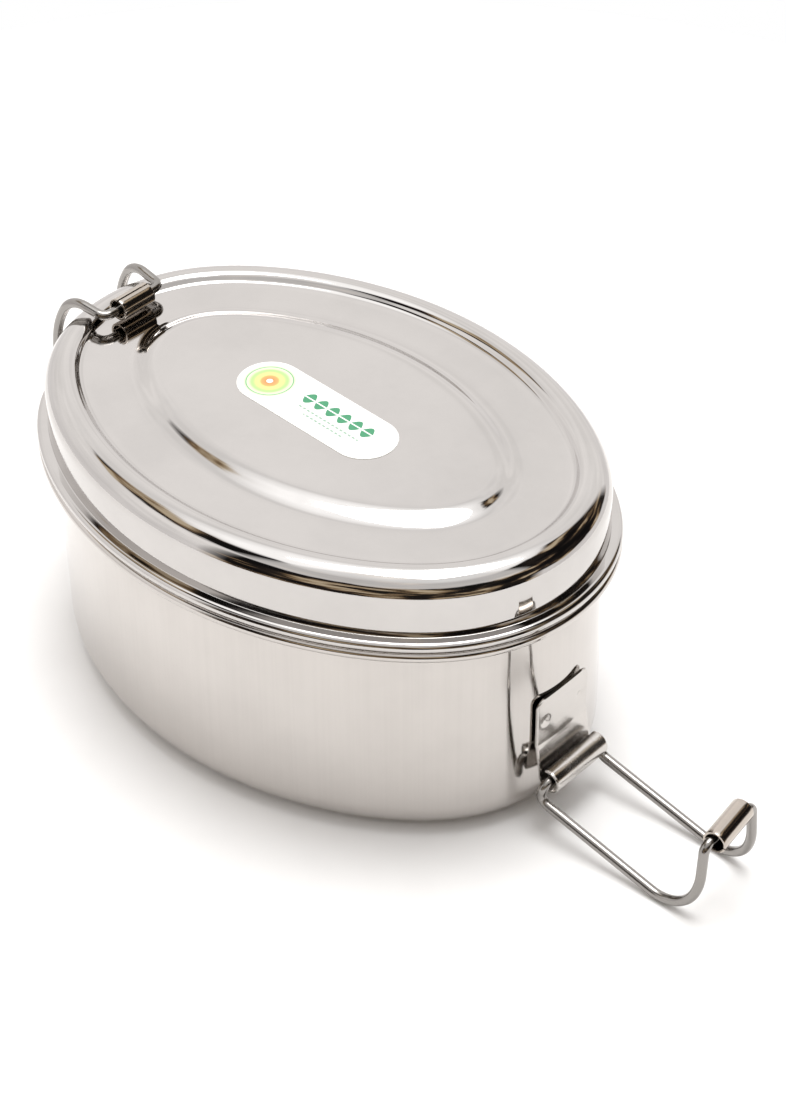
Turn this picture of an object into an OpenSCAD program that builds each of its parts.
// Oval stainless-steel lunch box with a lift-off lid and a wire clip at each end.
// Origin: centre of the footprint on the table. +X runs along the long axis
// towards the open clip, +Z is up. All sizes are in millimetres.

/* [Box] */
// Length over the rolled rim
rim_length = 172; // [168:0.5:176]
// Width over the rolled rim
rim_width = 124.7; // [123:0.1:127]
// Thickness of the steel sheet
sheet = 0.7; // [0.5:0.05:0.8]
// Height of the underside of the container's rim
rim_z = 62.7; // [61:0.1:64]
// Thickness of each rolled rim
rim_thick = 3; // [2.6:0.1:3.2]
// How far the container wall stands in from the rim
wall_inset = 4.55; // [4.3:0.05:4.8]
// Radius between the wall and the floor
floor_radius = 10; // [8:0.5:12]
// How far the neck stands in from the rim
neck_inset = 5.3; // [5.1:0.05:5.6]
// Height of the neck above the container's rim
neck_rise = 7.2; // [6:0.1:8]

/* [Lid] */
// Gap between the two rims
rim_gap = 0.2; // [0.1:0.05:0.4]
// How far the skirt stands in from the rim
skirt_inset = 3.1; // [3:0.05:3.2]
// Height of the crown, the highest ring of the lid
crown_z = 85.8; // [85:0.1:86.5]
// Radius of the shoulder between skirt and crown
shoulder_radius = 6.5; // [6:0.1:7]
// Depth of the groove inside the crown
groove_depth = 2.2; // [1.8:0.1:2.4]
// Radius of the crown's inner edge
crown_radius = 3; // [2:0.1:3.5]
// Radius at the foot of the crown
foot_radius = 2; // [1.5:0.1:2.5]
// Where the raised centre starts, measured in from the rim
panel_start = 25; // [24:0.5:26]
// Radius of each bend of the raised centre
panel_radius = 9; // [7:0.5:12]
// How far the raised centre lies below the crown
panel_drop = 0.1; // [0.1:0.1:0.6]

/* [Label] */
// Length of the paper label
label_length = 52.5; // [40:0.5:60]
// Width of the paper label
label_width = 17.5; // [12:0.5:20]
// Thickness of the paper label
label_thick = 0.2; // [0.1:0.05:0.3]
// Turn of the label on the lid
label_turn = -3.2; // [-6:0.2:6]

/* [Clips] */
// Thickness of the bracket sheet
bracket_sheet = 0.75; // [0.6:0.05:0.9]
// Width of each bracket
bracket_width = 20.1; // [18:0.1:20.5]
// Height of each bracket's plate above its knuckle axis
plate_height = 23.9; // [20:0.1:26]
// Outer radius of the knuckle
knuckle_radius = 3.4; // [3.2:0.05:3.6]
// Distance of the knuckle axis from the centre
knuckle_x = 86.14; // [85.9:0.02:86.3]
// Height of the right knuckle axis
right_knuckle_z = 15.3; // [15.3:0.1:17]
// Height of the left knuckle axis
left_knuckle_z = 40.97; // [40.9:0.01:41.2]
// Diameter of the bail wire
wire = 2.7; // [2.4:0.05:2.8]
// Distance of each bail arm from the middle
arm_y = 11.8; // [11.6:0.1:12.4]
// Length of each leg of the left bail
left_leg = 29.1; // [28.5:0.05:29.5]
// Radius of the slow bend that starts the left hook
left_slow = 27.3; // [26:0.1:28]
// Turn of that slow bend
left_slow_turn = 25.6; // [24:0.1:27]
// Radius of the tight bend of the left hook
left_tight = 7.9; // [7.5:0.05:8.2]
// Turn of that tight bend
left_tight_turn = 65.4; // [64:0.1:67]
// Straight length after the left hook
left_rise = 4.3; // [4:0.05:4.6]
// Inward lean of the closed left bail
left_lean = 7; // [6:0.1:8]
// Length of each leg of the right bail
right_leg = 34.3; // [33:0.1:35]
// Radius of the tight bend of the right hook
right_tight = 10.8; // [10:0.1:11.5]
// Turn of that tight bend
right_tight_turn = 83; // [80:0.5:85]
// Radius of the slow bend that ends the right hook
right_slow = 18.2; // [17:0.1:20]
// Turn of that slow bend
right_slow_turn = 20.5; // [18:0.5:22]
// Straight length after the right hook
right_rise = 6.9; // [6:0.1:8]
// Downward slope of the open right bail
right_slope = 12.5; // [11:0.1:12.5]
// Diameter of the sleeve on each bail
sleeve = 6.3; // [6:0.05:6.4]
// Thickness of the sleeve's sheet
sleeve_sheet = 0.65; // [0.5:0.05:0.7]
// Length of the right sleeve
right_sleeve_length = 14; // [12:0.1:14]
// Length of the left sleeve
left_sleeve_length = 11; // [10:0.1:14]
// How far the loose right sleeve lies askew on its wire
sleeve_skew = 7; // [0:0.5:7.5]

/* [Hidden] */
half_length = rim_length / 2;
half_width = rim_width / 2;
// Four-centre oval: two end arcs and two side arcs that meet tangentially,
// with the lines between their centres on 3-4-5 triangles.
oval_unit = (half_length - half_width) / 2;
end_centre = 3 * oval_unit;
side_centre = 4 * oval_unit;
end_radius = half_length - end_centre;
side_radius = half_width + side_centre;
// Where the swept edge of a floor or top gives way to a flat disc.
disc_inset = 36;
rim_half = rim_thick / 2;
rim_top = rim_z + rim_thick;
lid_z = rim_top + rim_gap;
groove_z = crown_z - groove_depth;
panel_z = crown_z - panel_drop;
panel_rise = panel_z - groove_z;
crown_start = skirt_inset + shoulder_radius;
crown_turn = acos(1 - groove_depth / (crown_radius + foot_radius));
groove_start = crown_start + (crown_radius + foot_radius) * sin(crown_turn);
panel_turn = acos(1 - panel_rise / (2 * panel_radius));
panel_end = panel_start + 2 * panel_radius * sin(panel_turn);
plate_gap = 0.05;
wall_x = half_length - wall_inset;
plate_u = wall_x + plate_gap - knuckle_x;
plate_top_radius = 2.5;
jog_height = 7.5;
curl_gap = [112, 180];
weld_y = 6.8;
weld_z = 16.4;
weld_radius = 1.6;
end_bend = 2.6;
arm_taper = 5;
knee_radius = 3;
seam = 0.5;
swelling = 0.08;
knot_half = 0.2;
lap = 0.02;
left_hook = [left_slow, left_slow_turn, left_tight, left_tight_turn, left_rise];
right_hook = [right_tight, right_tight_turn, right_slow, right_slow_turn, right_rise];
left_bar = bar_place(left_leg, left_hook);
right_bar = bar_place(right_leg, right_hook);
reach = 400;
steel = "#c8c8c4";
dull = "#b4b4b0";
paper = "#eeece6";
oval_fn = 72;
$fn = 32;

// A profile of [distance out from the rim, height] turned about an arc's centre.
module turned(radius) {
    rotate_extrude($fn = oval_fn) translate([radius, 0]) children();
}

// Sweeps such a profile round the whole oval, an arc at a time.
module oval_sweep() {
    for (turn = [0, 180]) rotate([0, 0, turn]) {
        translate([end_centre, 0, 0]) intersection() {
            turned(end_radius) children();
            linear_extrude(reach) polygon([[0, 0], [150, -200], [150, 200]]);
        }
        translate([0, -side_centre, 0]) intersection() {
            turned(side_radius) children();
            linear_extrude(reach) polygon([[0, 0], [150, 200], [-150, 200]]);
        }
    }
}

// The flat area inside an oval that lies `inset` in from the rim.
module oval_area(inset, fn = oval_fn) {
    for (side = [-1, 1]) translate([side * end_centre, 0])
        circle(end_radius - inset, $fn = fn);
    intersection() {
        translate([0, -side_centre]) circle(side_radius - inset, $fn = fn);
        translate([0, side_centre]) circle(side_radius - inset, $fn = fn);
        square([2 * (end_centre + (end_radius - inset) * 0.6), reach], center = true);
    }
}

// A closed sheet: the swept edge and the flat disc inside it.
module oval_sheet(low) {
    oval_sweep() difference() {
        children();
        translate([-reach - disc_inset, -1]) square([reach, reach]);
    }
    translate([0, 0, low]) linear_extrude(sheet) oval_area(disc_inset);
}

// A block of section from the middle out to `inset`, between two heights.
module block(inset, low, high) {
    translate([-2 * disc_inset, low]) square([2 * disc_inset - inset, high - low]);
}

// Everything inside the container's skin, drawn `skin` further in.
module container_form(skin, top) {
    round_at = wall_inset + floor_radius;
    difference() {
        block(wall_inset + skin, skin, rim_z + rim_half);
        difference() {
            translate([-round_at, 0]) square(floor_radius);
            translate([-round_at, floor_radius]) circle(floor_radius - skin);
        }
    }
    block(rim_half, rim_z + skin, rim_top - skin);
    translate([-rim_half, rim_z + rim_half]) circle(rim_half - skin);
    block(neck_inset + skin, rim_z + rim_half, top);
}

module container() color(steel) oval_sheet(0) difference() {
    container_form(0, rim_top + neck_rise);
    container_form(sheet, rim_top + neck_rise + 1);
}

// Everything under the lid's skin from height `low`, drawn `skin` further in.
module lid_form(skin, low) {
    shoulder_z = crown_z - shoulder_radius;
    difference() {
        union() {
            block(skirt_inset + skin, low, shoulder_z);
            block(crown_start, low, crown_z - skin);
            translate([-crown_start, shoulder_z]) circle(shoulder_radius - skin);
        }
        groove_cut(skin);
    }
}

// The room above the groove, between the crown and the raised centre.
module groove_cut(skin) {
    crown_mid = crown_start + (crown_radius - skin) * sin(crown_turn);
    foot_r = foot_radius + skin;
    panel_in = panel_radius + skin;
    panel_out = panel_radius - skin;
    panel_mid = panel_start + panel_in * sin(panel_turn);
    difference() {
        translate([-reach, groove_z - skin]) square([reach - crown_start, reach]);
        // the crown's rounded inner edge
        intersection() {
            translate([-crown_start, crown_z - crown_radius]) circle(crown_radius - skin);
            translate([-crown_mid, 0]) square([crown_mid, reach]);
        }
        // the foot of the crown
        difference() {
            translate([-groove_start, groove_z - skin])
                square([groove_start - crown_mid + lap, foot_r * (1 - cos(crown_turn))]);
            translate([-groove_start, groove_z + foot_radius]) circle(foot_r);
        }
        // the foot of the raised centre
        difference() {
            translate([-panel_mid - lap, groove_z - skin])
                square([panel_mid + lap - panel_start, panel_in * (1 - cos(panel_turn))]);
            translate([-panel_start, groove_z + panel_radius]) circle(panel_in, $fn = 120);
        }
        // the raised centre itself, rounded at its edge
        intersection() {
            translate([-panel_end, panel_z - panel_radius]) circle(panel_out, $fn = 120);
            translate([-panel_end - lap, 0]) square([panel_end + lap - panel_mid, reach]);
        }
        translate([-reach, 0]) square([reach - panel_end, panel_z - skin]);
    }
}

module lid() color(steel) oval_sheet(panel_z - sheet) {
    difference() {
        union() {
            lid_form(0, lid_z + rim_half);
            block(rim_half, lid_z, lid_z + rim_thick);
            translate([-rim_half, lid_z + rim_half]) circle(rim_half);
        }
        lid_form(sheet, 0);
        block(rim_half + 2, 0, lid_z + sheet);
        block(rim_half, lid_z + sheet, lid_z + rim_thick - sheet);
        translate([-rim_half, lid_z + rim_half]) circle(rim_half - sheet);
    }
}

module label() color(paper) {
    straight = label_length / 2 - label_width / 2;
    translate([-0.2, -1.4, panel_z]) rotate([0, 0, label_turn]) linear_extrude(label_thick) {
        square([2 * straight, label_width], center = true);
        for (side = [-1, 1]) translate([side * straight, 0])
            circle(d = label_width, $fn = 48);
    }
}

// Stands a bracket section [out, up] across the box, centred on its own axis.
module across(width) {
    rotate([90, 0, 0]) translate([0, 0, -width / 2]) linear_extrude(width) children();
}

// One bracket about its knuckle axis: a plate that runs up from a rolled knuckle.
module bracket() color(dull) {
    inner = knuckle_radius - bracket_sheet;
    across(bracket_width) {
        difference() {
            circle(knuckle_radius, $fn = 40);
            circle(inner, $fn = 40);
            polygon([[0, 0], reach * [cos(curl_gap[0]), sin(curl_gap[0])],
                [-reach, reach], reach * [cos(curl_gap[1]), sin(curl_gap[1])]]);
        }
        polygon([[plate_u, jog_height], [plate_u + bracket_sheet, jog_height],
            [-inner, 0], [-knuckle_radius, 0]]);
    }
    difference() {
        translate([plate_u, 0, 0]) rotate([90, 0, 90]) linear_extrude(bracket_sheet) {
            side = bracket_width / 2 - plate_top_radius;
            translate([-bracket_width / 2, jog_height])
                square([bracket_width, plate_height - plate_top_radius - jog_height]);
            translate([-side, jog_height]) square([2 * side, plate_height - jog_height]);
            for (end = [-1, 1]) translate([end * side, plate_height - plate_top_radius])
                circle(plate_top_radius);
        }
        // the pressed dimple over each weld
        for (end = [-1, 1])
            translate([plate_u + bracket_sheet - 0.3, end * weld_y, weld_z]) rotate([0, 90, 0])
                cylinder(r1 = weld_radius - 0.5, r2 = weld_radius + 0.3, h = 0.6);
    }
}

// The two spots of fused metal between a bracket's plate and the wall.
module welds(knuckle_z) color(dull) difference() {
    for (end = [-1, 1])
        translate([wall_x - 2, end * weld_y, knuckle_z]) rotate([0, 90, 0])
            cylinder(r = weld_radius, h = 2 + plate_gap);
    linear_extrude(rim_z) oval_area(wall_inset, 720);
}

// The slight swelling where a bend in the wire starts or ends.
module knot() sphere(d = wire + swelling, $fn = 16);

// A straight length of bail wire; what follows starts at its end.
module run(length) {
    knot();
    translate([0, 0, knot_half]) cylinder(d = wire, h = length - 2 * knot_half, $fn = 16);
    translate([0, 0, length]) children();
}

// A bend towards +X; what follows starts at its end.
module bend(radius, angle) {
    knot_turn = asin(knot_half / radius);
    knot();
    translate([radius, 0, 0]) rotate([90, 0, 0])
        rotate_extrude(angle = angle - 2 * knot_turn, start = 180 - angle + knot_turn,
            $fn = 40) translate([radius, 0]) circle(d = wire, $fn = 16);
    translate([radius * (1 - cos(angle)), 0, radius * sin(angle)])
        rotate([0, angle, 0]) children();
}

module roll(angle) rotate([0, 0, angle]) children();

// One arm: out of the knuckle, round the knee, up the leg and over the hook
// [radius, turn, radius, turn, straight], then in towards the sleeve.
module arm(leg, hook) {
    turn = hook[1] + hook[3];
    last_roll = atan2(cos(arm_taper), cos(turn) * sin(arm_taper));
    knuckle_end() roll(90) bend(end_bend, 90) roll(-90) bend(knee_radius, 90)
        run(leg) roll(arm_taper) bend(hook[0], hook[1]) bend(hook[2], hook[3])
        run(hook[4]) roll(last_roll) bend(end_bend, last_turn(turn)) knot();
}

function last_turn(turn) = acos(sin(turn) * sin(arm_taper));

// How far a hook carries the wire [along the leg, across it] with a last straight.
function hook_reach(hook, last) = let (turn = hook[1] + hook[3])
    [hook[0] * sin(hook[1]) + hook[2] * (sin(turn) - sin(hook[1])) + last * cos(turn),
        hook[0] * (1 - cos(hook[1])) + hook[2] * (cos(hook[1]) - cos(turn))
            + last * sin(turn)];

// The middle of the sleeve's bar, seen from the knuckle axis.
function bar_place(leg, hook) = let (
        bent = end_bend * tan(last_turn(hook[1] + hook[3]) / 2),
        carried = hook_reach(hook, hook[4] + bent))
    [knee_radius + leg + carried.x, 0,
        cos(arm_taper) * carried.y - end_bend - knee_radius];

// Half the length of the straight bar that two hooks leave for the sleeve.
function half_bar(hook) = arm_y - end_bend * sin(last_turn(hook[1] + hook[3]))
    - sin(arm_taper) * hook_reach(hook, hook[4]).y;

module knuckle_end() translate([0, arm_y - end_bend, 0]) rotate([-90, 0, 0]) children();

// A bail: the bar in the knuckle, the bar for the sleeve, and an arm at each end.
module bail(leg, hook) color(steel) {
    rotate([90, 0, 0])
        cylinder(d = wire, h = 2 * (arm_y - end_bend - knot_half), center = true, $fn = 16);
    translate(bar_place(leg, hook)) rotate([90, 0, 0])
        cylinder(d = wire, h = 2 * (half_bar(hook) - knot_half), center = true, $fn = 16);
    for (side = [0, 1]) mirror([0, side, 0]) arm(leg, hook);
}

// A rolled sheet sleeve, centred on the bail's bar.
module sleeve_tube(length, skew) color(dull) rotate([0, 0, skew]) rotate([90, 0, 0])
    translate([0, 0, -length / 2]) linear_extrude(length) difference() {
        circle(d = sleeve);
        circle(d = sleeve - 2 * sleeve_sheet);
        translate([0, -seam / 2]) square([sleeve, seam]);
    }

// Puts a bail's own frame on its knuckle: closed on the left, open on the right.
module left_place() translate([-knuckle_x, 0, left_knuckle_z]) mirror([1, 0, 0])
    rotate([0, -90 - left_lean, 0]) children();
module right_place() translate([knuckle_x, 0, right_knuckle_z])
    rotate([0, right_slope, 0]) children();

module left_bracket() translate([-knuckle_x, 0, left_knuckle_z])
    rotate([0, 180, 0]) bracket();
module right_bracket() translate([knuckle_x, 0, right_knuckle_z]) bracket();
module left_welds() rotate([0, 0, 180]) welds(left_knuckle_z - weld_z);
module right_welds() welds(right_knuckle_z + weld_z);
module left_bail() left_place() bail(left_leg, left_hook);
module right_bail() right_place() bail(right_leg, right_hook);
module left_sleeve() left_place() translate(left_bar) sleeve_tube(left_sleeve_length, 0);
module right_sleeve() right_place() translate(right_bar) sleeve_tube(right_sleeve_length, sleeve_skew);

container();
lid();
label();
left_bracket();
left_welds();
left_bail();
left_sleeve();
right_bracket();
right_welds();
right_bail();
right_sleeve();
